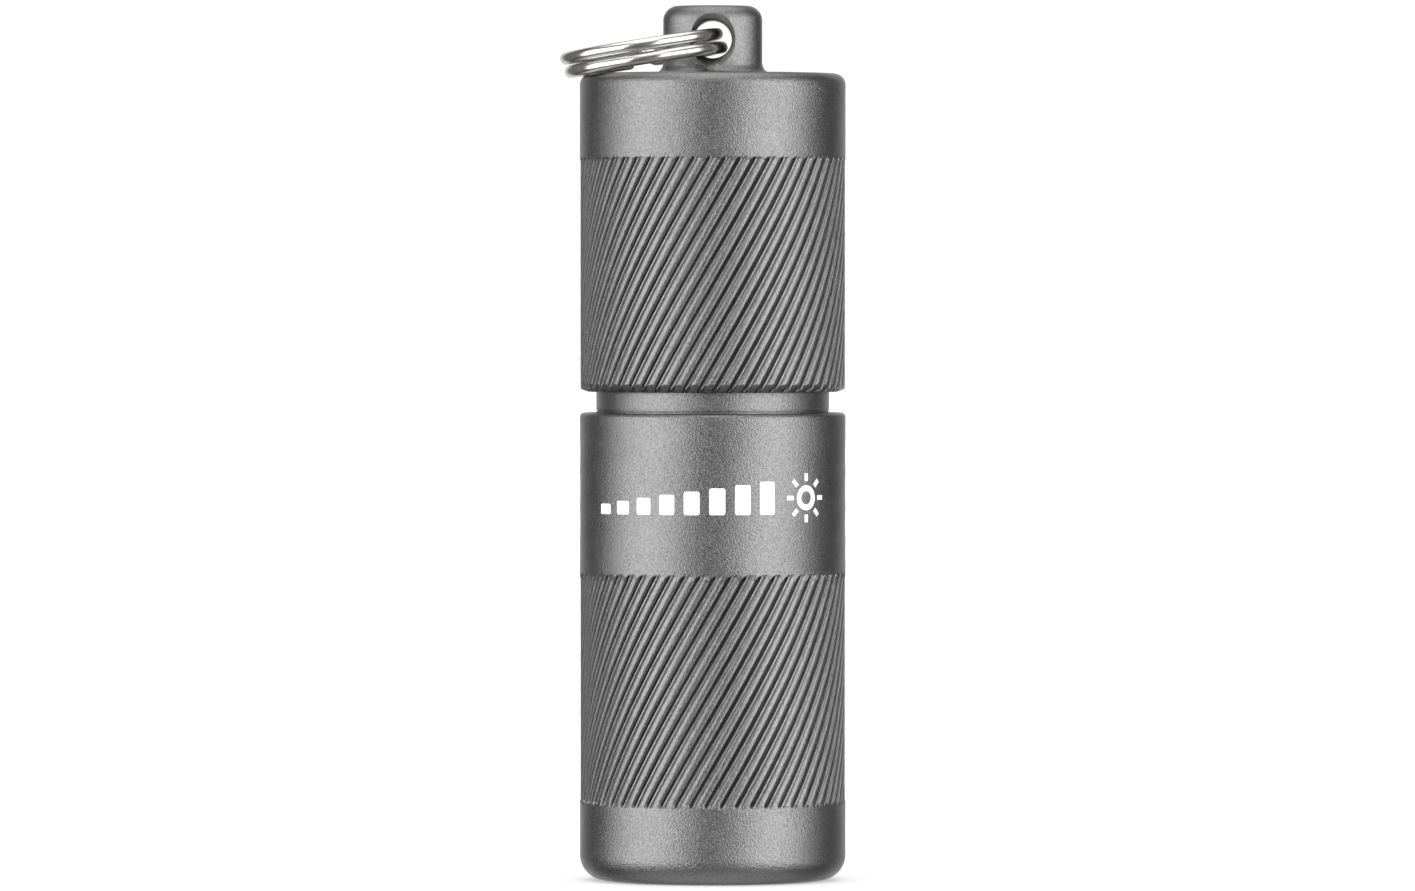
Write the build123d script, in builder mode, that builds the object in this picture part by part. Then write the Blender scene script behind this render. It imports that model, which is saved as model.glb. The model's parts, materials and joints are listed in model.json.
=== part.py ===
from build123d import *
import math
import os

os.makedirs("parts", exist_ok=True)

# A keychain flashlight that stands on its lens end. Z runs up the barrel, z = 0 is the standing face,
# and the charging port faces -Y. All sizes are in millimetres.

# ---------------------------------------------------------------- overall sizes
body_diameter = 15.3
head_height = 26.9  # standing face to the head's top edge
neck_gap = 1.2  # neck that shows between head and sleeve with the sleeve screwed home
sleeve_height = 18.3
lug_height = 3.9

# ---------------------------------------------------------------- clearances
seat_fit = 0.03  # between a piece and the bore that it is glued or screwed into
running_fit = 0.05  # between pieces that slide or turn on each other
thread_clearance = 0.08  # between the tube's thread crests and the sleeve's bore
touch_gap = 0.05  # between two contacts that the last turn closes

# ---------------------------------------------------------------- head, from the lens up
head_wall = 1.5
front_edge_radius = 1.45
edge_chamfer = 0.25
bezel_opening_radius = 5.5
bezel_lip = 0.9
gasket_thickness = 0.3
lens_recess = 0.55
lens_flange = 0.7
lens_cone_height = 4.5
lens_back_radius = 2.6
lens_cone_clearance = 0.25
lens_cone_bulge = 0.25  # how far the cone's side swells beyond a straight line
lens_pocket_radius = 1.5
lens_pocket_depth = 2.2
holder_wall = 0.6
holder_floor = 0.6
holder_hole_radius = 2.25
led_size = 2.6
led_height = 0.55
led_dome_radius = 0.95
led_board_thickness = 1.0
retainer_height = 1.2
retainer_wall = 1.5
driver_board_thickness = 0.8
component_height = 0.9
cell_contact_height = 0.4
cell_contact_radius = 1.6
seal_section = 0.56

# ---------------------------------------------------------------- battery tube and cell
sleeve_wall = 0.87
thread_depth = 0.4
thread_length = 2.3
thread_pitch = 1.0
neck_overlap = 0.3  # neck that reaches up into the sleeve's mouth
tube_wall = 0.7
tube_top_gap = 1.2
tube_edge_chamfer = 0.2
cell_sleeve_wall = 0.5
cell_tab_thickness = 0.2
cell_tab_radius = 3.0
cell_shoulder = 0.35

# ---------------------------------------------------------------- USB-C port and charging board
port_height = 8.94
port_width = 3.26
port_depth = 7.35
port_wall = 0.31
port_slot_clearance = 0.08
port_above_neck = 0.4
port_inset = 0.085  # from the tube's surface, at the port's corner, in to the port's mouth
tongue_height = 6.69
tongue_thickness = 0.7
tongue_setback = 0.9
tongue_block_depth = 1.35
board_thickness = 0.8
board_edge_gap = 0.1
board_above_port = 1.86
chip_size = 3.0
chip_height = 0.8
indicator_radius = 0.42
indicator_above_port = 1.1
indicator_length = 3.6

# ---------------------------------------------------------------- switch contacts in the tube's end
plug_thickness = 1.3
plug_ledge = 0.2
plunger_radius = 1.2
plunger_flange_radius = 1.55
plunger_flange_height = 0.6
plunger_rise = 1.7  # free rise of the plunger's flange up to the plug
spring_radius = 1.0
spring_wire = 0.25
spring_pitch = 0.5
spring_seat_thickness = 0.3
spring_seat_half_width = 1.4
contact_pad_radius = 2.5
contact_pad_thickness = 0.3

# ---------------------------------------------------------------- sleeve, glide ring and lug
sleeve_roof = 1.0
mouth_chamfer = 0.5
sleeve_top_radius = 0.65
glide_groove_depth = 0.22
glide_ring_height = 0.7
glide_ring_above_mouth = 1.25
glide_ring_split = 24.0  # degrees left out of the glide ring, so that it springs into its groove
lug_diameter = 5.7
lug_thickness = 4.6  # front to back: the lug is oval seen from above
lug_top_radius = 0.85
lug_base_radius = 0.65
lug_hole_diameter = 2.2
lug_hole_chamfer = 0.46  # a wide countersink, so that the curved ring clears the hole's mouth
lug_hole_overrun = 0.1  # how far the countersink tool starts outside the lug
lug_hole_rise = 1.95  # hole's axis above the sleeve's top face

# ---------------------------------------------------------------- split ring
ring_diameter = 9.5
ring_wire_width = 0.95
ring_coil_height = 0.7
ring_coil_gap = 0.02
ring_edge_radius = 0.15
ring_rest_gap = 0.016  # between the ring's lower side and the sleeve's rim that it leans on
ring_crossover = 18.0  # degrees over which the strip steps from one coil to the other
ring_crossover_at = 100.0  # degrees round from the lug, behind the barrel's axis
ring_seat_offset = 0.175  # from the hole's axis out to the middle of the ring's wire
ring_drop = 0.08  # play that lets the ring lie low in the hole

# ---------------------------------------------------------------- radii that follow from those above
body_radius = body_diameter / 2
head_bore_radius = body_radius - head_wall
inner_stack_radius = head_bore_radius - seat_fit
sleeve_bore_radius = body_radius - sleeve_wall
thread_radius = sleeve_bore_radius - thread_clearance
neck_radius = thread_radius
tube_radius = thread_radius - thread_depth
tube_bore_radius = tube_radius - tube_wall
cell_sleeve_radius = tube_bore_radius - running_fit
cell_radius = cell_sleeve_radius - cell_sleeve_wall - running_fit
lug_radius = lug_diameter / 2

# ---------------------------------------------------------------- heights that follow from those above
gasket_z = bezel_lip
lens_flange_z = gasket_z + gasket_thickness
lens_cone_z = lens_flange_z + lens_flange
lens_back_z = lens_cone_z + lens_cone_height
led_board_z = lens_back_z + holder_floor
retainer_z = led_board_z + led_board_thickness
driver_z = retainer_z + retainer_height
tube_foot_z = driver_z + driver_board_thickness
cell_z = tube_foot_z + cell_contact_height
mouth_z = head_height + neck_gap
neck_top_z = mouth_z + neck_overlap
port_z = neck_top_z + port_above_neck
port_top_z = port_z + port_height
cell_top_z = port_z - 2 * cell_tab_thickness
board_top_z = port_top_z + board_above_port
indicator_z = port_top_z + indicator_above_port
sleeve_top_z = mouth_z + sleeve_height
ceiling_z = sleeve_top_z - sleeve_roof
pad_z = ceiling_z - contact_pad_thickness
tube_top_z = ceiling_z - tube_top_gap
thread_z = tube_top_z - thread_length
plug_z = tube_top_z - plug_thickness
flange_top_z = plug_z - plunger_rise
flange_z = flange_top_z - plunger_flange_height
spring_seat_z = port_top_z + running_fit
spring_z = spring_seat_z + spring_seat_thickness
glide_ring_z = mouth_z + glide_ring_above_mouth
lug_top_z = sleeve_top_z + lug_height
lug_root_z = sleeve_top_z - sleeve_roof / 2
hole_z = sleeve_top_z + lug_hole_rise


def circle_edges(piece, radius, height):
    """The piece's level round edges of one radius at one height."""
    close = 1e-4
    rounds = piece.edges().filter_by(GeomType.CIRCLE)
    return rounds.filter_by(
        lambda e: abs(e.radius - radius) < close and abs(e.arc_center.Z - height) < close
    )


# ================================================================ head
with BuildPart() as head_shell:
    seal_seat_radius = head_bore_radius + seal_section + running_fit
    seal_seat_z = head_height - seal_section - running_fit
    with BuildSketch(Plane.XZ):
        with BuildLine():
            Polyline(
                (bezel_opening_radius, 0),
                (body_radius, 0),
                (body_radius, head_height),
                (seal_seat_radius, head_height),
                (seal_seat_radius, seal_seat_z),
                (head_bore_radius, seal_seat_z),
                (head_bore_radius, bezel_lip),
                (bezel_opening_radius, bezel_lip),
                close=True,
            )
        make_face()
    revolve(axis=Axis.Z)
    fillet(circle_edges(head_shell, body_radius, 0), radius=front_edge_radius)
    chamfer(circle_edges(head_shell, bezel_opening_radius, 0), length=edge_chamfer)
    chamfer(circle_edges(head_shell, body_radius, head_height), length=edge_chamfer)
head_shell.part.label = "head_shell"
export_step(head_shell.part, "parts/head_shell.step")

# A soft ring that seals the lens against the bezel's lip.
with BuildPart() as lens_gasket:
    with BuildSketch(Plane.XY.offset(gasket_z)):
        Circle(inner_stack_radius)
        Circle(bezel_opening_radius, mode=Mode.SUBTRACT)
    extrude(amount=gasket_thickness)
lens_gasket.part.label = "lens_gasket"
export_step(lens_gasket.part, "parts/lens_gasket.step")

# A clear collimating lens: a front window, a flange and a cone with a pocket for the LED.
with BuildPart() as collimator_lens:
    window_radius = bezel_opening_radius - seat_fit
    cone_radius = inner_stack_radius - holder_wall - lens_cone_clearance
    cone_middle_radius = (cone_radius + lens_back_radius) / 2 + lens_cone_bulge
    with BuildSketch(Plane.XZ):
        with BuildLine():
            Polyline(
                (0, lens_recess),
                (window_radius, lens_recess),
                (window_radius, lens_flange_z),
                (inner_stack_radius, lens_flange_z),
                (inner_stack_radius, lens_cone_z),
                (cone_radius, lens_cone_z),
            )
            Spline(
                (cone_radius, lens_cone_z),
                (cone_middle_radius, (lens_cone_z + lens_back_z) / 2),
                (lens_back_radius, lens_back_z),
            )
            Polyline(
                (lens_back_radius, lens_back_z),
                (lens_pocket_radius, lens_back_z),
                (lens_pocket_radius, lens_back_z - lens_pocket_depth),
                (0, lens_back_z - lens_pocket_depth),
                (0, lens_recess),
            )
        make_face()
    revolve(axis=Axis.Z)
collimator_lens.part.label = "collimator_lens"
export_step(collimator_lens.part, "parts/collimator_lens.step")

# The moulded cup that centres the lens over the LED.
with BuildPart() as lens_holder:
    with BuildSketch(Plane.XY.offset(lens_cone_z)):
        Circle(inner_stack_radius)
        Circle(inner_stack_radius - holder_wall, mode=Mode.SUBTRACT)
    extrude(amount=lens_cone_height)
    with BuildSketch(Plane.XY.offset(lens_back_z)):
        Circle(inner_stack_radius)
        Circle(holder_hole_radius, mode=Mode.SUBTRACT)
    extrude(amount=holder_floor)
lens_holder.part.label = "lens_holder"
export_step(lens_holder.part, "parts/lens_holder.step")

with BuildPart() as led_board:
    with BuildSketch(Plane.XY.offset(led_board_z)):
        Circle(inner_stack_radius)
    extrude(amount=led_board_thickness)
led_board.part.label = "led_board"
export_step(led_board.part, "parts/led_board.step")

# The LED's square package with its dome, facing down into the lens.
with BuildPart() as led_emitter:
    with BuildSketch(Plane.XY.offset(led_board_z)):
        Rectangle(led_size, led_size)
    extrude(amount=-led_height)
    with BuildSketch(Plane.XZ):
        with BuildLine():
            CenterArc((0, led_board_z - led_height), led_dome_radius, -90, 90)
            Polyline(
                (led_dome_radius, led_board_z - led_height),
                (0, led_board_z - led_height),
                (0, led_board_z - led_height - led_dome_radius),
            )
        make_face()
    revolve(axis=Axis.Z)
led_emitter.part.label = "led_emitter"
export_step(led_emitter.part, "parts/led_emitter.step")

# The brass ring that screws down the bore and holds the LED board and the lens.
with BuildPart() as board_retainer:
    with BuildSketch(Plane.XY.offset(retainer_z)):
        Circle(inner_stack_radius)
        Circle(inner_stack_radius - retainer_wall, mode=Mode.SUBTRACT)
        with PolarLocations(inner_stack_radius - retainer_wall, 2):
            Rectangle(retainer_wall, retainer_wall / 2, mode=Mode.SUBTRACT)
    extrude(amount=retainer_height)
board_retainer.part.label = "board_retainer"
export_step(board_retainer.part, "parts/board_retainer.step")

with BuildPart() as driver_board:
    with BuildSketch(Plane.XY.offset(driver_z)):
        Circle(inner_stack_radius)
    extrude(amount=driver_board_thickness)
driver_board.part.label = "driver_board"
export_step(driver_board.part, "parts/driver_board.step")

# The driver's controller, its coil and two capacitors, on the board's lower face.
with BuildPart() as driver_components:
    half_step = chip_size / 2 + running_fit
    with BuildSketch(Plane.XY.offset(driver_z)):
        with Locations((-half_step, half_step / 2)):
            Rectangle(chip_size, chip_size)
        with Locations((half_step, half_step)):
            RectangleRounded(chip_size, chip_size - holder_wall, holder_wall)
        with GridLocations(chip_size / 2, 0, 2, 1):
            with Locations((half_step / 2, -half_step)):
                Rectangle(chip_size / 3, chip_size / 2)
    extrude(amount=-component_height)
driver_components.part.label = "driver_components"
export_step(driver_components.part, "parts/driver_components.step")

with BuildPart() as cell_contact:
    with BuildSketch(Plane.XY.offset(tube_foot_z)):
        Circle(cell_contact_radius)
    extrude(amount=cell_contact_height)
cell_contact.part.label = "cell_contact"
export_step(cell_contact.part, "parts/cell_contact.step")

# The O-ring between the tube's shoulder and the head.
with BuildPart() as head_seal:
    with BuildSketch(Plane.XZ):
        with Locations((head_bore_radius + seal_section / 2, head_height - seal_section / 2)):
            Circle(seal_section / 2)
    revolve(axis=Axis.Z)
head_seal.part.label = "head_seal"
export_step(head_seal.part, "parts/head_seal.step")

# ================================================================ battery tube
# One turned tube: a spigot glued into the head, the neck that shows below the sleeve, the smooth run
# that carries the charging port, and the band of thread that the sleeve screws on.
with BuildPart() as battery_tube:
    plug_bore_radius = tube_bore_radius + plug_ledge
    port_middle_z = port_z + port_height / 2
    with BuildSketch(Plane.XZ):
        with BuildLine():
            Polyline(
                (tube_bore_radius, tube_foot_z),
                (inner_stack_radius, tube_foot_z),
                (inner_stack_radius, head_height),
                (neck_radius, head_height),
                (neck_radius, neck_top_z),
                (tube_radius, neck_top_z),
                (tube_radius, thread_z),
                (thread_radius, thread_z),
                (thread_radius, tube_top_z),
                (plug_bore_radius, tube_top_z),
                (plug_bore_radius, plug_z),
                (tube_bore_radius, plug_z),
                close=True,
            )
        make_face()
    revolve(axis=Axis.Z)
    for edge_z in (thread_z, tube_top_z, neck_top_z):
        chamfer(circle_edges(battery_tube, thread_radius, edge_z), length=tube_edge_chamfer)
    with BuildSketch(Plane.XZ):
        with Locations((0, port_middle_z)):
            slot_grow = 2 * port_slot_clearance
            SlotOverall(port_height + slot_grow, port_width + slot_grow, rotation=90)
        with Locations((0, indicator_z)):
            Circle(indicator_radius + seat_fit)
    extrude(amount=body_radius, mode=Mode.SUBTRACT)
battery_tube.part.label = "battery_tube"
export_step(battery_tube.part, "parts/battery_tube.step")

with BuildPart() as battery_cell:
    with BuildSketch(Plane.XY.offset(cell_z)):
        Circle(cell_radius)
    extrude(amount=cell_top_z - cell_z)
    fillet(battery_cell.edges().filter_by(GeomType.CIRCLE), radius=cell_shoulder)
battery_cell.part.label = "battery_cell"
export_step(battery_cell.part, "parts/battery_cell.step")

with BuildPart() as cell_sleeve:
    with BuildSketch(Plane.XY.offset(tube_foot_z)):
        Circle(cell_sleeve_radius)
        Circle(cell_sleeve_radius - cell_sleeve_wall, mode=Mode.SUBTRACT)
    extrude(amount=cell_top_z - tube_foot_z)
cell_sleeve.part.label = "cell_sleeve"
export_step(cell_sleeve.part, "parts/cell_sleeve.step")

# The welded nickel tab that carries the cell's upper end to the charging board.
with BuildPart() as cell_tab:
    with BuildSketch(Plane.XY.offset(cell_top_z)):
        Circle(cell_tab_radius)
    extrude(amount=cell_tab_thickness)
cell_tab.part.label = "cell_tab"
export_step(cell_tab.part, "parts/cell_tab.step")

# ================================================================ charging port and board
port_half_width = port_width / 2
port_corner = port_half_width
port_mouth_y = -math.sqrt((tube_radius - port_inset) ** 2 - port_corner**2)
port_back_y = port_mouth_y + port_depth
port_plane = Plane.XZ.offset(-port_mouth_y)
port_back_plane = Plane.XZ.offset(-port_back_y)

with BuildPart() as usb_shell:
    with BuildSketch(port_plane):
        with Locations((0, port_middle_z)):
            SlotOverall(port_height, port_width, rotation=90)
            inner_height = port_height - 2 * port_wall
            SlotOverall(inner_height, port_width - 2 * port_wall, rotation=90, mode=Mode.SUBTRACT)
    extrude(amount=-port_depth)
usb_shell.part.label = "usb_shell"
export_step(usb_shell.part, "parts/usb_shell.step")

# The moulded block that closes the port's back and the thin tongue that the plug slides over.
with BuildPart() as usb_tongue:
    with BuildSketch(port_back_plane):
        with Locations((0, port_middle_z)):
            block_height = port_height - 2 * port_wall - 2 * seat_fit
            block_width = port_width - 2 * port_wall - 2 * seat_fit
            SlotOverall(block_height, block_width, rotation=90)
    extrude(amount=tongue_block_depth)
    with BuildSketch(port_back_plane):
        with Locations((0, port_middle_z)):
            Rectangle(tongue_thickness, tongue_height)
    extrude(amount=port_depth - tongue_setback)
usb_tongue.part.label = "usb_tongue"
export_step(usb_tongue.part, "parts/usb_tongue.step")

# The board stands upright beside the port.
board_face_x = port_half_width
board_back_x = board_face_x + board_thickness
board_half_width = math.sqrt(tube_bore_radius**2 - board_back_x**2) - board_edge_gap
board_z = cell_top_z + cell_tab_thickness
with BuildPart() as charge_board:
    with BuildSketch(Plane.YZ.offset(board_face_x)):
        with Locations((0, (board_z + board_top_z) / 2)):
            Rectangle(2 * board_half_width, board_top_z - board_z)
    extrude(amount=board_thickness)
charge_board.part.label = "charge_board"
export_step(charge_board.part, "parts/charge_board.step")

# The charging controller and a column of small parts on the board's far face.
with BuildPart() as charge_components:
    with BuildSketch(Plane.YZ.offset(board_back_x)):
        with Locations((0, port_middle_z)):
            Rectangle(chip_size, chip_size)
            with GridLocations(0, 2 * chip_size, 1, 2):
                Rectangle(chip_size / 2, chip_size / 3)
    extrude(amount=chip_height)
charge_components.part.label = "charge_components"
export_step(charge_components.part, "parts/charge_components.step")

# The light pipe that shows the charging state through a small hole above the port.
with BuildPart() as charge_indicator:
    indicator_plane = Plane.XZ.offset(tube_radius - port_inset)
    with BuildSketch(indicator_plane):
        with Locations((0, indicator_z)):
            Circle(indicator_radius)
    extrude(amount=-indicator_length)
    with BuildSketch(Plane.XZ.offset(tube_radius - port_inset - indicator_length)):
        with Locations((board_face_x / 2 - indicator_radius / 2, indicator_z)):
            Rectangle(board_face_x + indicator_radius, 2 * indicator_radius)
    extrude(amount=-2 * indicator_radius)
charge_indicator.part.label = "charge_indicator"
export_step(charge_indicator.part, "parts/charge_indicator.step")

# ================================================================ switch contacts
# A small bracket off the board carries the foot of the contact spring.
with BuildPart() as spring_seat:
    with BuildSketch(Plane.XY.offset(spring_seat_z)):
        with Locations(((board_face_x - spring_seat_half_width) / 2, 0)):
            Rectangle(board_face_x + spring_seat_half_width, 2 * spring_seat_half_width)
    extrude(amount=spring_seat_thickness)
spring_seat.part.label = "spring_seat"
export_step(spring_seat.part, "parts/spring_seat.step")

with BuildPart() as plunger_spring:
    coil_foot_z = spring_z + spring_wire / 2 + running_fit
    coil_height = flange_z - spring_z - spring_wire - 2 * running_fit
    with BuildLine() as coil_line:
        Helix(spring_pitch, coil_height, spring_radius, center=(0, 0, coil_foot_z))
    with BuildSketch(Plane(origin=coil_line.line @ 0, z_dir=coil_line.line % 0)):
        Circle(spring_wire / 2)
    sweep(is_frenet=True)
plunger_spring.part.label = "plunger_spring"
export_step(plunger_spring.part, "parts/plunger_spring.step")

with BuildPart() as contact_plunger:
    with BuildSketch(Plane.XY.offset(flange_z)):
        Circle(plunger_flange_radius)
    extrude(amount=plunger_flange_height)
    with BuildSketch(Plane.XY.offset(flange_top_z)):
        Circle(plunger_radius)
    extrude(amount=pad_z - touch_gap - flange_top_z)
    fillet(circle_edges(contact_plunger, plunger_radius, pad_z - touch_gap), radius=plunger_radius / 4)
contact_plunger.part.label = "contact_plunger"
export_step(contact_plunger.part, "parts/contact_plunger.step")

# The insulating plug that closes the tube and guides the plunger.
with BuildPart() as end_plug:
    with BuildSketch(Plane.XY.offset(plug_z)):
        Circle(plug_bore_radius - seat_fit)
        Circle(plunger_radius + running_fit, mode=Mode.SUBTRACT)
    extrude(amount=plug_thickness)
end_plug.part.label = "end_plug"
export_step(end_plug.part, "parts/end_plug.step")

# ================================================================ glide ring
# A slippery split ring in a groove of the sleeve's mouth. It slides along the tube without turning.
glide_groove_radius = sleeve_bore_radius + glide_groove_depth
with BuildPart() as glide_ring:
    with BuildSketch(Plane.XZ):
        with Locations(((tube_radius + glide_groove_radius) / 2, glide_ring_z + glide_ring_height / 2)):
            Rectangle(glide_groove_radius - tube_radius - 2 * running_fit, glide_ring_height)
    revolve(axis=Axis.Z, revolution_arc=360 - glide_ring_split)
glide_ring.part.label = "glide_ring"
export_step(glide_ring.part, "parts/glide_ring.step")

# ================================================================ tail sleeve with its lug
# The lug has a hollow foot and a round top. It is drawn as a turned post, then narrowed front to back.
with BuildPart() as round_lug:
    with BuildSketch(Plane.XZ):
        with BuildLine():
            foot_radius = lug_radius + lug_base_radius
            crown_radius = lug_radius - lug_top_radius
            Polyline((0, lug_root_z), (foot_radius, lug_root_z), (foot_radius, sleeve_top_z))
            CenterArc((foot_radius, sleeve_top_z + lug_base_radius), lug_base_radius, 180, 90)
            Line((lug_radius, sleeve_top_z + lug_base_radius), (lug_radius, lug_top_z - lug_top_radius))
            CenterArc((crown_radius, lug_top_z - lug_top_radius), lug_top_radius, 0, 90)
            Polyline((crown_radius, lug_top_z), (0, lug_top_z), (0, lug_root_z))
        make_face()
    revolve(axis=Axis.Z)
oval_lug = scale(round_lug.part, by=(1, lug_thickness / lug_diameter, 1))

with BuildPart() as tail_sleeve:
    with BuildSketch(Plane.XZ):
        with BuildLine():
            Polyline(
                (0, sleeve_top_z),
                (body_radius, sleeve_top_z),
                (body_radius, mouth_z),
                (sleeve_bore_radius, mouth_z),
                (sleeve_bore_radius, glide_ring_z - running_fit),
                (glide_groove_radius, glide_ring_z - running_fit),
                (glide_groove_radius, glide_ring_z + glide_ring_height + running_fit),
                (sleeve_bore_radius, glide_ring_z + glide_ring_height + running_fit),
                (sleeve_bore_radius, ceiling_z),
                (0, ceiling_z),
                close=True,
            )
        make_face()
    revolve(axis=Axis.Z)
    chamfer(circle_edges(tail_sleeve, body_radius, mouth_z), length=mouth_chamfer)
    fillet(circle_edges(tail_sleeve, body_radius, sleeve_top_z), radius=sleeve_top_radius)
    add(oval_lug)
    with BuildSketch(Plane.XY.offset(hole_z)):
        with BuildLine():
            hole_radius = lug_hole_diameter / 2
            tool_radius = hole_radius + lug_hole_chamfer + lug_hole_overrun
            tool_reach = lug_thickness / 2 + lug_hole_overrun
            sink_depth = lug_thickness / 2 - lug_hole_chamfer
            Polyline(
                (0, -tool_reach),
                (tool_radius, -tool_reach),
                (hole_radius, -sink_depth),
                (hole_radius, sink_depth),
                (tool_radius, tool_reach),
                (0, tool_reach),
                close=True,
            )
        make_face()
    revolve(axis=Axis((0, 0, hole_z), (0, 1, 0)), mode=Mode.SUBTRACT)
tail_sleeve.part.label = "tail_sleeve"
export_step(tail_sleeve.part, "parts/tail_sleeve.step")

with BuildPart() as contact_pad:
    with BuildSketch(Plane.XY.offset(pad_z)):
        Circle(contact_pad_radius)
    extrude(amount=contact_pad_thickness)
contact_pad.part.label = "contact_pad"
export_step(contact_pad.part, "parts/contact_pad.step")

# ================================================================ split ring
# A strip wound into two coils, hooked through the lug. The ring leans down towards -X until its lower
# side meets the sleeve's rim; one crossover joins the lower coil's end to the upper coil's start.
rim_reach = body_radius - sleeve_top_radius
rim_distance = math.hypot(rim_reach, lug_hole_rise)
ring_underside = ring_drop + ring_coil_height + ring_coil_gap / 2 + ring_rest_gap
tilt = math.acos(ring_underside / rim_distance) - math.atan2(rim_reach, lug_hole_rise)
ring_up = Vector(-math.sin(tilt), 0, math.cos(tilt))
ring_to_lug = Vector(math.cos(tilt), 0, math.sin(tilt))
coil_radius = (ring_diameter - ring_wire_width) / 2
ring_centre = Vector(0, 0, hole_z) - ring_to_lug * (coil_radius - ring_seat_offset) - ring_up * ring_drop
ring_axis = Axis(ring_centre, ring_up)
coil_rise = (ring_coil_height + ring_coil_gap) / 2
coil_arc = 360 - ring_crossover


def strip_plane(degrees):
    """A plane across the strip, this far round the ring from the lug, with its x outward."""
    outward = ring_to_lug.rotate(ring_axis, degrees)
    return Plane(origin=ring_centre, x_dir=outward, z_dir=outward.cross(ring_up))


def strip_section(degrees, rise):
    """The strip's rounded section at one place, on the lower or the upper coil."""
    with BuildSketch(strip_plane(degrees)) as section:
        with Locations((coil_radius, rise)):
            RectangleRounded(ring_wire_width, ring_coil_height, ring_edge_radius)
    return section.sketch


with BuildPart() as split_ring:
    for rise in (-coil_rise, coil_rise):
        revolve(strip_section(ring_crossover_at, rise), axis=ring_axis, revolution_arc=coil_arc)
    loft([
        strip_section(ring_crossover_at - ring_crossover, -coil_rise),
        strip_section(ring_crossover_at, coil_rise),
    ])
split_ring.part.label = "split_ring"
export_step(split_ring.part, "parts/split_ring.step")

# ================================================================ joint facts
print("ring pivot z", hole_z, "ring centre", ring_centre, "tilt", math.degrees(tilt))
print("twist: mm per turn", thread_pitch, "room to close", neck_gap, "plunger rise", plunger_rise)
print("pull: room under the thread", thread_z - glide_ring_z - glide_ring_height)
print("port middle z", port_middle_z, "mouth y", port_mouth_y)
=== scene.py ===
# %% [markdown]
# # A keychain flashlight, piece by piece
#
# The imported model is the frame: it says where every piece is, to a hundredth of a millimetre. This
# lesson dresses it. The barrel, the sleeve, the tube and the key ring get finer meshes than the frame
# holds; the small pieces inside keep the frame's own meshes and only get finishes.

import json
import math

import bmesh
import bpy
import numpy as np
from mathutils import Matrix, Vector


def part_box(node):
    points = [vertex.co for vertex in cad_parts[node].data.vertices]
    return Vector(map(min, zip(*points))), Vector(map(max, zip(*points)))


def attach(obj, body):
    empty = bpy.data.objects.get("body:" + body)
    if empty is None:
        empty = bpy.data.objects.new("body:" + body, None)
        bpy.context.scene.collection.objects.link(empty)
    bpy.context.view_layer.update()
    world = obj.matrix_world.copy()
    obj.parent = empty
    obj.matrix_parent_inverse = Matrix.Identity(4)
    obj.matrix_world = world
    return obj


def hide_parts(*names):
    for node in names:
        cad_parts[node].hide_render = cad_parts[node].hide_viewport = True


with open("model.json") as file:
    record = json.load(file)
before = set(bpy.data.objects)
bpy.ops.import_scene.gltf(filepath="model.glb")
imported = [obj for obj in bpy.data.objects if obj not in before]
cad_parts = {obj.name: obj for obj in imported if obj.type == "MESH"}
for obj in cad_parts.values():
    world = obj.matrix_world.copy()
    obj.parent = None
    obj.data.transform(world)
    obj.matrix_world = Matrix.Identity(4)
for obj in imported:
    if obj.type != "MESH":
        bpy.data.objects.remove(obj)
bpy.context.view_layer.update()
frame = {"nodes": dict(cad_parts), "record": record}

# %% [markdown]
# Everything in Blender is in metres, but a maker thinks of a light this small in millimetres. One
# factor turns the one into the other, and a helper reads a node's box in millimetres, so that every
# size below comes from the frame or is a plain workshop number.

# %% Workshop units
MM = 0.001


def node_box(node):
    """The node's lowest and highest corners, in millimetres."""
    low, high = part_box(node)
    return low / MM, high / MM


head_low, head_high = node_box("head_shell")
sleeve_low, sleeve_high = node_box("tail_sleeve")
tube_low, tube_high = node_box("battery_tube")
body_radius = (head_high.x - head_low.x) / 2
neck_radius = (tube_high.x - tube_low.x) / 2
print("barrel radius", round(body_radius, 3), "neck radius", round(neck_radius, 3))

# %% [markdown]
# ## Turning a profile into a mesh
#
# A lathe makes the barrel, so the mesh is made like a lathe does it: one outline, swept round the Z
# axis. Blender's Screw modifier or bpy.ops.mesh.spin could do that too, but both put the columns of
# vertices upright. The flutes climb round the barrel, and an upright grid would cut across their sharp
# edges in little stairs. Here each row is turned a little further than the one below it, so the mesh
# edges run along the flutes and their edges stay crisp.

# %% A grid of rows and columns becomes a closed mesh
def mesh_from_rows(name, rows, closed):
    """Joins rows of points, each a full turn, into a mesh. An open stack gets a face on both ends."""
    columns = len(rows[0])
    points = [tuple(p) for row in rows for p in row]
    faces = []
    steps = len(rows) if closed else len(rows) - 1
    for i in range(steps):
        here, above = i * columns, (i + 1) % len(rows) * columns
        for c in range(columns):
            d = (c + 1) % columns
            faces.append((here + c, here + d, above + d, above + c))
    if not closed:
        faces.append(tuple(reversed(range(columns))))
        faces.append(tuple(range((len(rows) - 1) * columns, len(rows) * columns)))
    mesh = bpy.data.meshes.new(name)
    mesh.from_pydata(points, [], faces)
    mesh.validate()
    outward = bmesh.new()
    outward.from_mesh(mesh)
    bmesh.ops.recalc_face_normals(outward, faces=outward.faces)
    outward.to_mesh(mesh)
    outward.free()
    piece = bpy.data.objects.new(name, mesh)
    bpy.context.scene.collection.objects.link(piece)
    return piece


def row_of_points(radius, angles, z):
    """Points round the axis at one height. Takes millimetres and gives metres."""
    heights = np.full(len(angles), z)
    return np.column_stack((radius * np.cos(angles), radius * np.sin(angles), heights)) * MM


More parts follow.
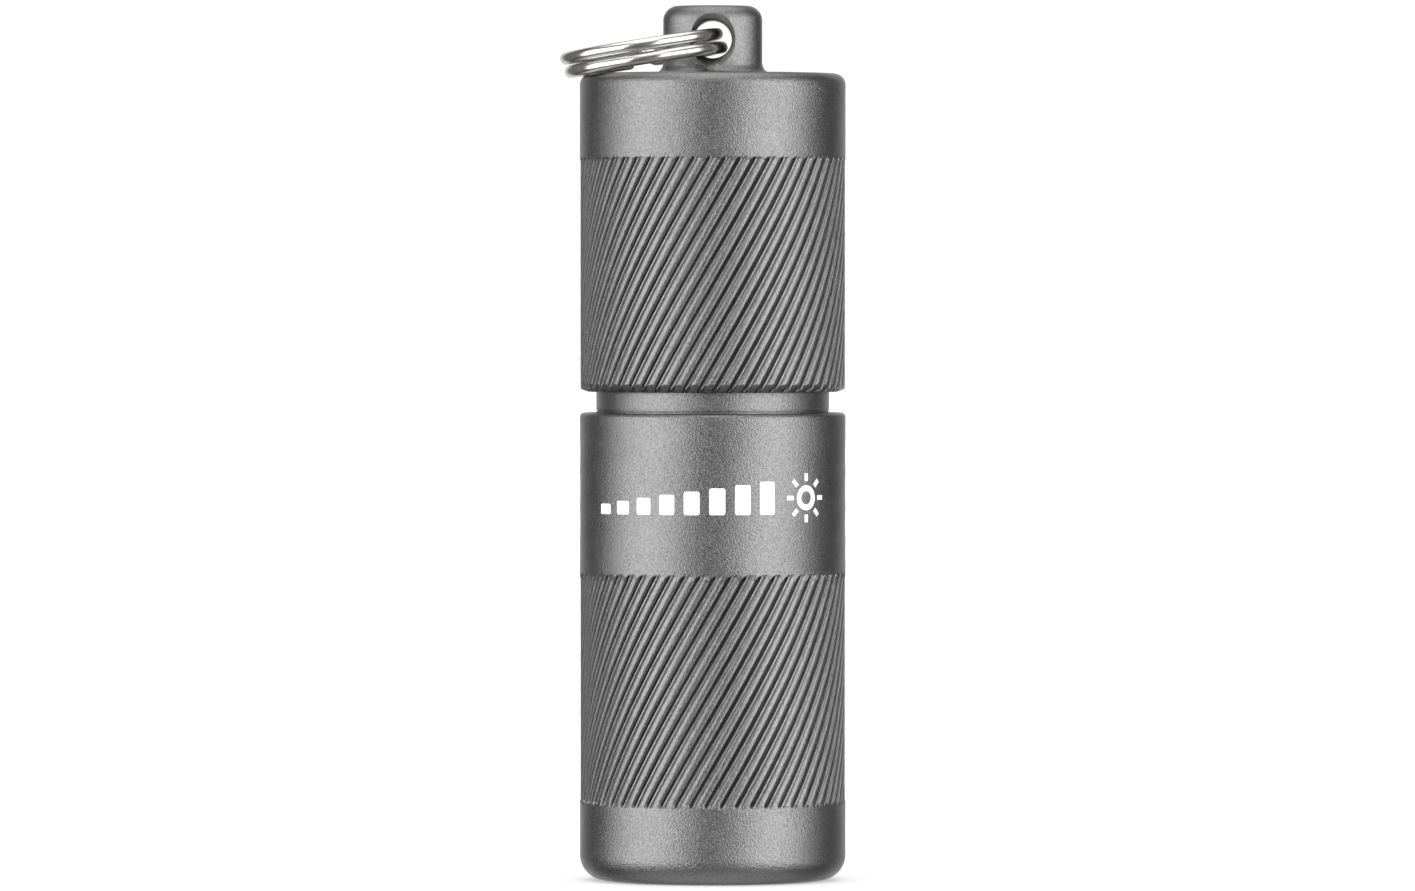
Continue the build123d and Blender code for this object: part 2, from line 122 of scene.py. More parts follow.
def turned(name, outline, columns):
    """A plain turned piece from an outline of (radius, height) points that starts and ends at the axis."""
    angles = np.linspace(0, 2 * math.pi, columns, endpoint=False)
    rows = [row_of_points(r, angles, z) for r, z in outline]
    return mesh_from_rows(name, rows, closed=False)


def shade(piece, sharpest=30):
    """Smooth shading, with a crisp edge wherever two faces meet at more than this angle."""
    piece.data.shade_smooth()
    piece.data.set_sharp_from_angle(angle=math.radians(sharpest))


# %% [markdown]
# A drill or a milling cutter is a Boolean modifier: the cutter's mesh is taken away from the piece's,
# or added to it. The modifier is applied straight away, because a finished piece should be plain mesh
# that exports as it looks.

# %% Cutting and joining
def combine(piece, tool, operation):
    """Applies a Boolean of tool to piece, and throws the tool away."""
    step = piece.modifiers.new("combine", "BOOLEAN")
    step.operation = operation
    step.solver = "EXACT"
    step.object = tool
    graph = bpy.context.evaluated_depsgraph_get()
    mesh = bpy.data.meshes.new_from_object(piece.evaluated_get(graph))
    piece.modifiers.clear()
    old = piece.data
    piece.data = mesh
    bpy.data.meshes.remove(old)
    bpy.data.objects.remove(tool)
    return piece


def bar_along_y(name, corners, start, end):
    """A closed bar whose section is the (x, z) corners, from start to end along Y, in millimetres."""
    rows = [[Vector((x, along, z)) * MM for x, z in corners] for along in (start, end)]
    return mesh_from_rows(name, rows, closed=False)


def arc(centre, radius, start, end, steps):
    """Points on an arc in an outline, angles in degrees from the outline's first axis."""
    angles = np.radians(np.linspace(start, end, steps + 1))
    return [(centre[0] + radius * math.cos(a), centre[1] + radius * math.sin(a)) for a in angles]


# %% [markdown]
# ## The flutes
#
# The grip is milled, not knurled: 54 flutes climb the barrel, leaning 30 degrees from upright. Each one
# is a deep groove with a steep wall, a low ridge, a second, shallower groove and then a broad land that
# is a little lower than the smooth bands. The profile is written once, across one flute, and repeated.
#
# Two more numbers ride along with each point: how much of the grey a thumb has rubbed away there, which
# also stands in for a painted highlight on the ridges' edges, and how much painted shade darkens the
# groove there. The finish reads both later.

# %% One flute, and the ring of flutes
FLUTE_COUNT = 54
FLUTE_LEAD = 82.5  # height in mm in which a flute would go once round
# share of the flute's width, depth in mm, edge wear with painted highlight, painted shade in the groove
FLUTE_PROFILE = [
    (0.020, 0.092, 0.0, 0.10),
    (0.060, 0.125, 0.0, 0.38),
    (0.100, 0.170, 0.0, 0.80),
    (0.135, 0.215, 0.0, 1.00),
    (0.165, 0.235, 0.0, 0.75),
    (0.200, 0.230, 0.0, 0.35),
    (0.225, 0.205, 0.0, 0.12),
    (0.250, 0.140, 0.0, 0.00),
    (0.275, 0.075, 0.4, 0.00),
    (0.305, 0.050, 1.0, 0.00),
    (0.340, 0.042, 0.6, 0.00),
    (0.390, 0.050, 0.0, 0.00),
    (0.430, 0.078, 0.0, 0.10),
    (0.475, 0.100, 0.0, 0.35),
    (0.515, 0.090, 0.0, 0.20),
    (0.565, 0.058, 0.2, 0.00),
    (0.640, 0.042, 0.4, 0.00),
    (0.730, 0.036, 0.1, 0.00),
    (0.820, 0.035, 0.0, 0.00),
    (0.900, 0.040, 0.0, 0.00),
    (0.940, 0.050, 0.2, 0.00),
    (0.980, 0.068, 0.0, 0.20),
]
FLUTE_TURN = -0.08  # in flutes: where round the barrel the first one starts
shares, depths, wears_and_highlights, painted_shades = (np.array(column * FLUTE_COUNT) for column in zip(*FLUTE_PROFILE))
numbers = np.repeat(np.arange(FLUTE_COUNT), len(FLUTE_PROFILE))
flute_angles = (numbers + shares + FLUTE_TURN) * 2 * math.pi / FLUTE_COUNT
print("columns round the barrel:", len(flute_angles))

# %% [markdown]
# A flute does not stop dead. The cutter lifts out over a few tenths of a millimetre, and because it is
# round the end of each flute is a small arch. So a band of flutes is a number from 0 to 1 for every
# point: how much of the full depth is cut there.

# %% How deep the cutter goes at each height
def ease(t):
    """A smooth step from 0 to 1."""
    t = np.clip(t, 0, 1)
    return t * t * (3 - 2 * t)


ARCH_SHIFT = 0.05  # share of a flute by which its arched end sits off the flute's middle
ARCH_ROUND = 0.98  # just under 1, so that the arch's foot doesn't stand quite upright


def cut_share(z, low, high, run_out, low_arch, high_arch):
    """How much of the full flute depth is cut in every column at the height z."""
    across = np.abs(2 * ((shares + ARCH_SHIFT) % 1) - 1)
    arch = 1 - np.sqrt(1 - ARCH_ROUND * across**2)
    to_top = ease((high - high_arch * arch - z) / run_out)
    to_bottom = ease((z - low - low_arch * arch) / run_out)
    return to_top * to_bottom


OUTER_WALL = 0.5  # rows this close to the barrel's full radius are on its outside


def fluted(name, outline, cut, limit, closed):
    """A turned piece whose outer surface is fluted. Rows are sheared so that edges follow the flutes."""
    rows, wear_and_highlight, dark = [], [], []
    for r, z in outline:
        share = cut(z) * (r > body_radius - OUTER_WALL)
        radius = np.minimum(np.minimum(r, limit(z)), body_radius - depths * share)
        angles = flute_angles + 2 * math.pi * z / FLUTE_LEAD
        rows.append(row_of_points(radius, angles, z))
        wear_and_highlight.append(wears_and_highlights * share)
        dark.append(painted_shades * share)
    piece = mesh_from_rows(name, rows, closed)
    # the first attribute carries wear and a painted highlight on the ridges, the second painted shade in
    # the grooves
    for attribute, values in (("edge_wear_and_highlight", wear_and_highlight), ("groove", dark)):
        layer = piece.data.attributes.new(attribute, "FLOAT", "POINT")
        layer.data.foreach_set("value", np.concatenate(values).astype(np.float32))
    return piece


FINE_STEP, COARSE_STEP = 0.05, 0.45  # mm between rows
RUN_OUT_ROOM = 0.75  # mm at each end of a band that get fine rows


def band_heights(low, high):
    """Row heights for a fluted band: close together where the flutes run out, wider between."""
    bottom = list(np.arange(low - FINE_STEP, low + RUN_OUT_ROOM, FINE_STEP))
    coarse_rows = int((high - low - 2 * RUN_OUT_ROOM) / COARSE_STEP) + 2
    middle = list(np.linspace(low + RUN_OUT_ROOM, high - RUN_OUT_ROOM, coarse_rows))
    top = list(np.arange(high - RUN_OUT_ROOM + FINE_STEP, high + FINE_STEP, FINE_STEP))
    return bottom + middle + top


print("rows in a 13 mm band:", len(band_heights(0, 13)))

# %% [markdown]
# ## The head
#
# The lower half of the barrel stands on its rounded bezel. Above the bezel come a smooth band, a
# fluted band, and a wide smooth band that carries the laser mark. Inside is a bore with a lip that
# holds the lens. The outline runs round the whole wall, so the mesh is closed and has real thickness.

# %% The head's outline and mesh
HEAD_BAND = (4.37, 17.77)
BEZEL_RADIUS = 1.45
EDGE_BREAK = 0.25
BEZEL_OPENING = 5.5
BORE_RADIUS = 6.15
LIP = 0.9
ROWS_UNDER_FLUTES = (1.6, 2.6, 3.6, 4.1)
ROWS_OVER_FLUTES = (18.2, 19.5, 21.5, 23.5, 25.5)
EDGE_ROW = 0.2  # a last row this far from a rounded edge keeps the edge's shading narrow
head_top = head_high.z
head_outline = (
    [(BEZEL_OPENING + EDGE_BREAK, 0), (body_radius - BEZEL_RADIUS, 0)]
    + arc((body_radius - BEZEL_RADIUS, BEZEL_RADIUS), BEZEL_RADIUS, -84, 0, 14)
    + [(body_radius, z) for z in ROWS_UNDER_FLUTES]
    + [(body_radius, z) for z in band_heights(*HEAD_BAND)]
    + [(body_radius, z) for z in ROWS_OVER_FLUTES + (head_top - EDGE_BREAK - EDGE_ROW,)]
    + arc((body_radius - EDGE_BREAK, head_top - EDGE_BREAK), EDGE_BREAK, 0, 90, 5)
    + [(BORE_RADIUS, head_top), (BORE_RADIUS, LIP), (BEZEL_OPENING, LIP)]
    + arc((BEZEL_OPENING + EDGE_BREAK, EDGE_BREAK), EDGE_BREAK, 180, 255, 5)
)


def head_cut(z):
    return cut_share(z, *HEAD_BAND, run_out=0.22, low_arch=0.16, high_arch=0.34)


def no_limit(z):
    return body_radius


head = fluted("head_barrel", head_outline, head_cut, no_limit, closed=True)
shade(head)
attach(head, "core")
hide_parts("head_shell")
print("head mesh:", len(head.data.vertices), "points")

# %% [markdown]
# ## The sleeve
#
# The upper half slides and turns on the inner tube. Its flutes run out through the chamfer of its
# mouth, which gives that edge a fine saw-tooth. On top stands the lug: a post with a hollow foot and a
# round crown, oval seen from above, with a cross hole for the ring. The hole's mouths are widely
# countersunk, because the ring curves inside it. Sleeve and lug are two meshes first, joined by a
# Boolean, and the hole is cut by another.

# %% The sleeve's wall, turned and fluted
SLEEVE_BORE = 6.78
GROOVE_RADIUS = 7.0
MOUTH_CHAMFER = 0.5
MOUTH_EDGE = 0.1  # inner edge break
RIM_RADIUS = 0.65
ROOF = 1.0
glide_low, glide_high = node_box("glide_ring")
mouth = sleeve_low.z
lug_top = sleeve_high.z
LUG_HEIGHT = 3.9
roof_top = lug_top - LUG_HEIGHT
SLEEVE_BAND = (0, 41.6)  # from far below the mouth, so these flutes have no lower end of their own
TOOTH_AT, TOOTH_WIDTH = 0.31, 0.07  # shares of a flute
TOOTH_HEIGHT = 0.34
GROOVE_GAP = 0.05
AXIS_EDGE = 0.02  # the meshes stop this short of the axis, and a small flat face closes them
CHAMFER_STEP, MOUTH_STEP = 0.04, 0.1  # mm between rows on the chamfer, and just above it
MOUTH_ROWS = 1.3  # height of those rows over the mouth
ROWS_OVER_SLEEVE_FLUTES = (42.2, 43.2, 44.4)
RIM_ROW = 0.25

sleeve_outline = (
    [(AXIS_EDGE, roof_top - ROOF), (SLEEVE_BORE, roof_top - ROOF)]
    + [(SLEEVE_BORE, glide_high.z + GROOVE_GAP), (GROOVE_RADIUS, glide_high.z + GROOVE_GAP)]
    + [(GROOVE_RADIUS, glide_low.z - GROOVE_GAP), (SLEEVE_BORE, glide_low.z - GROOVE_GAP)]
    + [(SLEEVE_BORE, mouth + MOUTH_EDGE), (SLEEVE_BORE + MOUTH_EDGE, mouth)]
    + [(body_radius, mouth + s) for s in np.arange(0, MOUTH_CHAMFER, CHAMFER_STEP)]
    + [(body_radius, z) for z in np.arange(mouth + MOUTH_CHAMFER, mouth + MOUTH_ROWS, MOUTH_STEP)]
    + [(body_radius, z) for z in band_heights(mouth + MOUTH_ROWS + MOUTH_STEP, SLEEVE_BAND[1])]
    + [(body_radius, z) for z in ROWS_OVER_SLEEVE_FLUTES + (roof_top - RIM_RADIUS - RIM_ROW,)]
    + arc((body_radius - RIM_RADIUS, roof_top - RIM_RADIUS), RIM_RADIUS, 0, 90, 10)
    + [(AXIS_EDGE, roof_top)]
)


def sleeve_cut(z):
    return cut_share(z, *SLEEVE_BAND, run_out=0.2, low_arch=0, high_arch=0.1)


def mouth_limit(z):
    """The chamfer's radius in every column. It starts lower on the ridges, which leaves small teeth."""
    ridge = np.exp(-(((shares - TOOTH_AT) / TOOTH_WIDTH) ** 2))
    start = MOUTH_CHAMFER - TOOTH_HEIGHT * ridge
    return body_radius - MOUTH_CHAMFER * np.clip(1 - (z - mouth) / start, 0, 1)


sleeve = fluted("sleeve_barrel", sleeve_outline, sleeve_cut, mouth_limit, closed=False)
print("sleeve wall:", len(sleeve.data.vertices), "points")

# %% [markdown]
# The lug is turned like the rest, and then its mesh is narrowed along Y, which makes it oval. Its root
# reaches down into the roof, so that the Boolean has solid to join. The drill is a turned mesh too: a
# plain middle that widens to a cone at both ends, laid over on its side by a rotation of 90 degrees.

# %% The lug, turned, narrowed and drilled
LUG_RADIUS = 2.85
LUG_DEPTH = 4.6
LUG_CROWN = 0.85
LUG_FOOT = 0.65
HOLE_RADIUS = 1.1
HOLE_SINK = 0.46
ROOT_INSET = 0.02  # the root is a little narrower than the foot, and the foot starts a little low
hole_height = roof_top + LUG_HEIGHT / 2
foot_centre = (LUG_RADIUS + LUG_FOOT, roof_top + LUG_FOOT)
root_radius = LUG_RADIUS + LUG_FOOT - ROOT_INSET
lug_outline = (
    [(AXIS_EDGE, roof_top - ROOF / 2), (root_radius, roof_top - ROOF / 2)]
    + [(root_radius, roof_top - ROOT_INSET)]
    + arc(foot_centre, LUG_FOOT, 268, 180, 12)
    + arc((LUG_RADIUS - LUG_CROWN, lug_top - LUG_CROWN), LUG_CROWN, 0, 90, 16)
    + [(AXIS_EDGE, lug_top)]
)
LUG_COLUMNS = 160
lug = turned("lug", lug_outline, LUG_COLUMNS)
lug.data.transform(Matrix.Diagonal((1, LUG_DEPTH / (2 * LUG_RADIUS), 1, 1)))
combine(sleeve, lug, "UNION")

half_lug = LUG_DEPTH / 2
DRILL_OVERRUN = 0.1
SINK_EASE = 0.05  # the countersink runs into the hole over a small step instead of one hard edge
half_hole = [
    (HOLE_RADIUS, half_lug - HOLE_SINK - SINK_EASE),
    (HOLE_RADIUS + SINK_EASE, half_lug - HOLE_SINK + SINK_EASE),
    (HOLE_RADIUS + HOLE_SINK + DRILL_OVERRUN, half_lug + DRILL_OVERRUN),
    (AXIS_EDGE, half_lug + DRILL_OVERRUN),
]
hole_outline = [(r, -along) for r, along in reversed(half_hole)] + half_hole
DRILL_COLUMNS = 96
drill = turned("drill", hole_outline, DRILL_COLUMNS)
drill.data.transform(Matrix.Translation((0, 0, hole_height * MM)) @ Matrix.Rotation(math.pi / 2, 4, "X"))
combine(sleeve, drill, "DIFFERENCE")
shade(sleeve)
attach(sleeve, "sleeve")
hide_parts("tail_sleeve")
print("sleeve mesh:", len(sleeve.data.vertices), "points")

# %% [markdown]
# ## The inner tube
#
# With the sleeve home only its neck shows, a dark waist between the two halves. Pull the sleeve up and
# the rest appears: a bright turned tube, the slot of the charging port, a pinhole for the charge light
# and the thread. The thread is a wave on the radius that moves up one pitch per turn. Rows a few
# hundredths apart are enough for it, and a Boolean cuts the slot.

# %% The tube's wall with its thread
TUBE_RADIUS = 6.3
TUBE_BORE = 5.6
PLUG_BORE = 5.8
SPIGOT_RADIUS = 6.12
THREAD_PITCH = 1.0
THREAD_DEPTH = 0.38
THREAD_LENGTH = 2.3
CREST_SHARE, FLANK_SHARE = 0.22, 0.56  # parts of half a pitch that are crest, and sloping flank
LEAD_IN_TOP, LEAD_IN_FOOT = 0.25, 0.12
thread_top = tube_high.z
thread_low = thread_top - THREAD_LENGTH
plug_low = node_box("end_plug")[0]
NECK_INSIDE = 0.3  # the neck ends this far inside the sleeve
neck_top = mouth + NECK_INSIDE
TUBE_COLUMNS = 192
SKIN = 0.05  # rows and faces this far over the plain tube belong to the thread or the neck


def thread_radius(r, z, angles):
    """The radius of the threaded band: a flat-topped wave that climbs one pitch per turn."""
    if not thread_low < z < thread_top or r <= TUBE_RADIUS:
        return np.full(len(angles), r)
    turn = (z - thread_low) / THREAD_PITCH - angles / (2 * math.pi)
    wave = np.abs(2 * (turn % 1) - 1)
    groove = ease((wave - CREST_SHARE) / FLANK_SHARE)
    lead_in = min(1, (thread_top - z) / LEAD_IN_TOP, (z - thread_low) / LEAD_IN_FOOT)
    deepest = np.full(len(angles), r) - THREAD_DEPTH * groove
    return np.minimum(deepest, TUBE_RADIUS + (neck_radius - TUBE_RADIUS) * lead_in)


NECK_CHAMFER = 0.2
PLAIN_START, PLAIN_ROWS = 0.4, 24  # plain rows between the neck and the thread
THREAD_STEP = 0.04  # mm between rows on the thread
line_radius = neck_radius - 0.05  # a fine line is turned into the neck's foot, at these heights
line_low, line_in, line_out, line_high = (head_top + rise for rise in (0.06, 0.08, 0.13, 0.15))
tube_outline = (
    [(TUBE_BORE, tube_low.z), (SPIGOT_RADIUS, tube_low.z), (SPIGOT_RADIUS, head_top)]
    + [(neck_radius, head_top), (neck_radius, line_low), (line_radius, line_in)]
    + [(line_radius, line_out), (neck_radius, line_high)]
    + [(neck_radius, neck_top - NECK_CHAMFER), (neck_radius - NECK_CHAMFER, neck_top)]
    + [(TUBE_RADIUS, neck_top)]
    + [(TUBE_RADIUS, z) for z in np.linspace(neck_top + PLAIN_START, thread_low, PLAIN_ROWS)]
    + [(neck_radius, z) for z in np.arange(thread_low + THREAD_STEP / 2, thread_top - 0.01, THREAD_STEP)]
    + [(TUBE_RADIUS + SKIN, thread_top), (PLUG_BORE, thread_top)]
    + [(PLUG_BORE, plug_low.z), (TUBE_BORE, plug_low.z)]
)
tube_angles = np.linspace(0, 2 * math.pi, TUBE_COLUMNS, endpoint=False)
tube_rows = [row_of_points(thread_radius(r, z, tube_angles), tube_angles, z) for r, z in tube_outline]
tube = mesh_from_rows("threaded_tube", tube_rows, closed=True)
print("thread turns:", round((thread_top - thread_low) / THREAD_PITCH, 1))

# %% [markdown]
# The slot has the shape of the port behind it, a little larger all round: two half circles joined by
# straight sides. Both it and the round hole for the charge light are bars pushed in from the front.

# %% The charging port's slot and the charge light's hole
SLOT_CLEARANCE = 0.08
PINHOLE_CLEARANCE = 0.03
port_low, port_high = node_box("usb_shell")
slot_half_width = (port_high.x - port_low.x) / 2 + SLOT_CLEARANCE
slot_low, slot_high = port_low.z - SLOT_CLEARANCE, port_high.z + SLOT_CLEARANCE
slot_corners = arc((0, slot_high - slot_half_width), slot_half_width, 0, 180, 20) + arc(
    (0, slot_low + slot_half_width), slot_half_width, 180, 360, 20
)
combine(tube, bar_along_y("slot", slot_corners, -body_radius, 0), "DIFFERENCE")
pipe_low, pipe_high = node_box("charge_indicator")
pipe_middle = (pipe_low.z + pipe_high.z) / 2
pipe_radius = (pipe_high.z - pipe_low.z) / 2
pinhole = arc((0, pipe_middle), pipe_radius + PINHOLE_CLEARANCE, 0, 345, 23)  # 24 corners
combine(tube, bar_along_y("pinhole", pinhole, -body_radius, 0), "DIFFERENCE")
shade(tube)
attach(tube, "core")
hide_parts("battery_tube")
print("tube mesh:", len(tube.data.vertices), "points")

# %% [markdown]
# ## The key ring
#
# A split ring is one flat strip of spring steel wound twice round. It has two coils that touch, and
# one short step where the strip crosses from the lower coil to the upper one. A Curve object with a
# bevel would give a round wire, so the strip's rounded section is carried round one by one here: two
# full turns less a small gap, each section standing across the strip.

# %% The strip's path and section
RING_DIAMETER = 9.5
STRIP_WIDTH = 0.95
STRIP_HEIGHT = 0.7
STRIP_GAP = 0.02
STRIP_EDGE = 0.33
TIP_LENGTH = 0.06  # radians of the strip that narrow to each tip
TIP_SIZE = 0.1  # share of the section that is left at the very tip
RING_TILT = math.radians(9.2)
CROSSOVER = math.radians(18.0)
CROSSOVER_AT = math.radians(100.0)
SEAT_OFFSET = 0.175
RING_DROP = 0.08
SPREAD = 0.14  # how far the lower coil has been pushed along towards the lug
coil_radius = (RING_DIAMETER - STRIP_WIDTH) / 2
coil_turn = 2 * math.pi - CROSSOVER
strip_length = 2 * coil_turn + CROSSOVER
ring_up = Vector((-math.sin(RING_TILT), 0, math.cos(RING_TILT)))
to_lug = Vector((math.cos(RING_TILT), 0, math.sin(RING_TILT)))
ring_side = ring_up.cross(to_lug)
ring_centre = Vector((0, 0, hole_height)) - to_lug * (coil_radius - SEAT_OFFSET) - ring_up * RING_DROP


def strip_section():
    """The strip's rounded section as (outward, up) points."""
    half_width = STRIP_WIDTH / 2 - STRIP_EDGE
    half_height = STRIP_HEIGHT / 2 - STRIP_EDGE
    points = []
    for corner, (a, b) in enumerate(((1, 1), (-1, 1), (-1, -1), (1, -1))):
        points += arc((a * half_width, b * half_height), STRIP_EDGE, 90 * corner, 90 * corner + 90, 5)
    return points


def strip_row(turn):
    """One section of the strip. turn is the angle travelled along the strip from its lower end."""
    rise = -1 + 2 * float(ease((turn - coil_turn) / CROSSOVER))
    height = rise * (STRIP_HEIGHT + STRIP_GAP) / 2
    angle = CROSSOVER_AT + turn
    outward = to_lug * math.cos(angle) + ring_side * math.sin(angle)
    tip = max(0.0, 1 - min(turn, strip_length - turn) / TIP_LENGTH)
    shrink = math.sqrt(max(0.0, 1 - tip**2)) * (1 - TIP_SIZE) + TIP_SIZE
    pushed = (to_lug - ring_up / 2) * SPREAD * float(ease((1 - rise) / 2))
    middle = ring_centre + outward * coil_radius + ring_up * height + pushed
    return [(middle + (outward * a + ring_up * b) * shrink) * MM for a, b in strip_section()]


STRIP_STEPS = 240
tips = [0, 0.004, 0.012, 0.026, 0.045]  # closer sections where the tips round off
middle_turns = list(np.linspace(TIP_LENGTH, strip_length - TIP_LENGTH, STRIP_STEPS))
turns = tips + middle_turns + [strip_length - t for t in tips[::-1]]
ring = mesh_from_rows("key_ring_coils", [strip_row(t) for t in turns], closed=False)
shade(ring, 40)
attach(ring, "key_ring")
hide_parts("split_ring")
print("key ring:", round(2 * coil_radius + STRIP_WIDTH, 2), "mm across")

# %% [markdown]
# ## Finishes
#
# Every finish below is one Principled shader fed by a few procedural textures. They read Object
# coordinates, which are metres measured from the piece's own origin, so a grain has the same real size
# on every piece and stays put when a joint moves. No picture files are used.
#
# A noise texture's Scale counts features per metre, so the helper takes the feature's size in
# millimetres instead, as a maker would measure it.

# %% Small helpers for finishes
class Finish:
    """A material being built: its shader, and short ways to add textures to it."""

    def __init__(self, name, colour, metal=0.0, roughness=0.5):
        self.material = bpy.data.materials.new(name)
        self.material.use_nodes = True
        self.nodes = self.material.node_tree.nodes
        self.links = self.material.node_tree.links
        self.shader = self.nodes["Principled BSDF"]
        self.shader.inputs["Base Color"].default_value = (*colour, 1)
        self.shader.inputs["Metallic"].default_value = metal
        self.shader.inputs["Roughness"].default_value = roughness
        self.places = self.nodes.new("ShaderNodeTexCoord").outputs["Object"]

    def stretched(self, x, y, z):
        """Object coordinates with each axis scaled, for textures that are longer one way."""
        mapping = self.nodes.new("ShaderNodeMapping")
        mapping.inputs["Scale"].default_value = (x, y, z)
        self.links.new(self.places, mapping.inputs["Vector"])
        return mapping.outputs["Vector"]

    def noise(self, feature, detail=2.0, places=None):
        """Noise whose features are this many millimetres across."""
        node = self.nodes.new("ShaderNodeTexNoise")
        node.inputs["Scale"].default_value = 1 / (feature * MM)
        node.inputs["Detail"].default_value = detail
        self.links.new(places or self.places, node.inputs["Vector"])
        return node.outputs["Fac"]

    def spread(self, value, low, high):
        """Maps a noise value onto a range."""
        node = self.nodes.new("ShaderNodeMapRange")
        node.inputs["From Min"].default_value = 0.3
        node.inputs["From Max"].default_value = 0.7
        node.inputs["To Min"].default_value = low
        node.inputs["To Max"].default_value = high
        self.links.new(value, node.inputs["Value"])
        return node.outputs["Result"]

    def blend(self, share, first, second):
        """A colour between two others. Either may be a colour or another node's output."""
        node = self.nodes.new("ShaderNodeMix")
        node.data_type = "RGBA"
        self.links.new(share, node.inputs["Factor"])
        for socket, colour in ((node.inputs["A"], first), (node.inputs["B"], second)):
            if isinstance(colour, tuple):
                socket.default_value = (*colour, 1)
            else:
                self.links.new(colour, socket)
        return node.outputs["Result"]

    def bump(self, height, depth, below=None):
        """A bump of this depth in millimetres, on top of another bump if one is given."""
        node = self.nodes.new("ShaderNodeBump")
        node.inputs["Distance"].default_value = depth * MM
        self.links.new(height, node.inputs["Height"])
        if below is not None:
            self.links.new(below, node.inputs["Normal"])
        return node.outputs["Normal"]

    def colour(self, output):
        self.links.new(output, self.shader.inputs["Base Color"])

    def rough(self, output):
        self.links.new(output, self.shader.inputs["Roughness"])

    def normal(self, output):
        self.links.new(output, self.shader.inputs["Normal"])


def wear_and_highlight_share(finish):
    """The edge wear and painted highlight that a mesh carries, broken up so that it isn't an even line."""
    worn_and_lit = finish.nodes.new("ShaderNodeAttribute")
    worn_and_lit.attribute_name = "edge_wear_and_highlight"
    patchy = finish.spread(finish.noise(0.6), 0.15, 0.8)
    both = finish.nodes.new("ShaderNodeMath")
    both.operation = "MULTIPLY"
    finish.links.new(worn_and_lit.outputs["Fac"], both.inputs[0])
    finish.links.new(patchy, both.inputs[1])
    return both.outputs["Value"]


# %% [markdown]
# The barrel is aluminium that was blasted with fine beads and then hard anodised grey. Beads leave a
# field of shallow dimples about a tenth of a millimetre across. Each one tips the surface a little, so
# the broad reflections of the softboxes break up into a fine sparkle where they fade out. Noise as bump
# does exactly that; noise as colour alone would look printed.

# %% Blasted grey anodising
def blasted_anodising():
    f = Finish("blasted_anodising", (0.24, 0.24, 0.24), metal=1.0, roughness=0.31)
    dimples = f.noise(0.07, 1.0)
    specks = f.noise(0.12, 1.0)
    clouds = f.noise(2.5, 3.0)
    base = f.blend(f.spread(specks, 0.0, 1.0), (0.205, 0.205, 0.205), (0.285, 0.285, 0.285))
    # lighter rubbed edges: partly real wear, partly a painted highlight along the ridges
    worn_and_lit = f.blend(wear_and_highlight_share(f), base, (0.46, 0.46, 0.46))
    # painted shade: the groove attribute darkens the flute walls and floors to near black, where they lie
    # in shade
    groove = f.nodes.new("ShaderNodeAttribute")
    groove.attribute_name = "groove"
    f.colour(f.blend(groove.outputs["Fac"], worn_and_lit, (0.022, 0.022, 0.022)))
    f.rough(f.spread(clouds, 0.28, 0.33))
    f.normal(f.bump(specks, 0.012, f.bump(dimples, 0.028)))
    return f.material


barrel_finish = blasted_anodising()
for piece in (head, sleeve):
    piece.data.materials.clear()
    piece.data.materials.append(barrel_finish)
print("barrel finish:", barrel_finish.name, "with", len(barrel_finish.node_tree.nodes), "nodes")

# %% [markdown]
# The tube is not blasted. A lathe tool leaves fine rings round it, so its bump is noise that is
# stretched: much longer round the tube than along it. Squeezing only the Z axis does that.

# %% Turned aluminium
def turned_aluminium():
    f = Finish("turned_aluminium", (0.70, 0.70, 0.71), metal=1.0, roughness=0.3)
    rings = f.noise(1.0, 2.0, f.stretched(0.6, 0.6, 28.0))
    clouds = f.noise(3.0, 2.0)
    f.colour(f.blend(f.spread(clouds, 0, 1), (0.64, 0.64, 0.65), (0.74, 0.74, 0.75)))
    f.rough(f.spread(rings, 0.24, 0.36))
    f.normal(f.bump(rings, 0.006))
    return f.material


tube.data.materials.clear()
tube.data.materials.append(barrel_finish)
tube.data.materials.append(turned_aluminium())
for face in tube.data.polygons:
    outside = math.hypot(face.center.x, face.center.y) > (TUBE_RADIUS + SKIN) * MM
    face.material_index = 0 if face.center.z < neck_top * MM and outside else 1
print("tube finishes:", [m.name for m in tube.data.materials])

# %% [markdown]
# The key ring is polished, and then it has lived among keys. So it is smoother than the barrel, with
# soft scuffs that change its gloss from place to place and a very shallow waviness in its reflections.

# %% Polished spring steel
def polished_steel():
    f = Finish("polished_steel", (0.80, 0.79, 0.77), metal=1.0, roughness=0.25)
    scuffs = f.noise(0.8, 4.0, f.stretched(1.0, 1.0, 3.0))
    f.colour(f.blend(f.spread(scuffs, 0, 1), (0.74, 0.73, 0.71), (0.84, 0.83, 0.81)))
    f.rough(f.spread(scuffs, 0.15, 0.24))
    f.normal(f.bump(f.noise(0.35, 2.0), 0.004))
    return f.material


ring.data.materials.append(polished_steel())
print("ring finish:", ring.data.materials[0].name)

# %% [markdown]
# ## The pieces that keep the frame's meshes
#
# The small pieces inside the tube and behind the lens already have their right shape. Each gets its own
# finish by changing what is in its material slots; its mesh isn't touched. Moulded plastics and plated
# metals differ mostly in colour, gloss and the size and depth of their grain, so one helper with a few
# named amounts covers them, and the ones that need more get their own function.

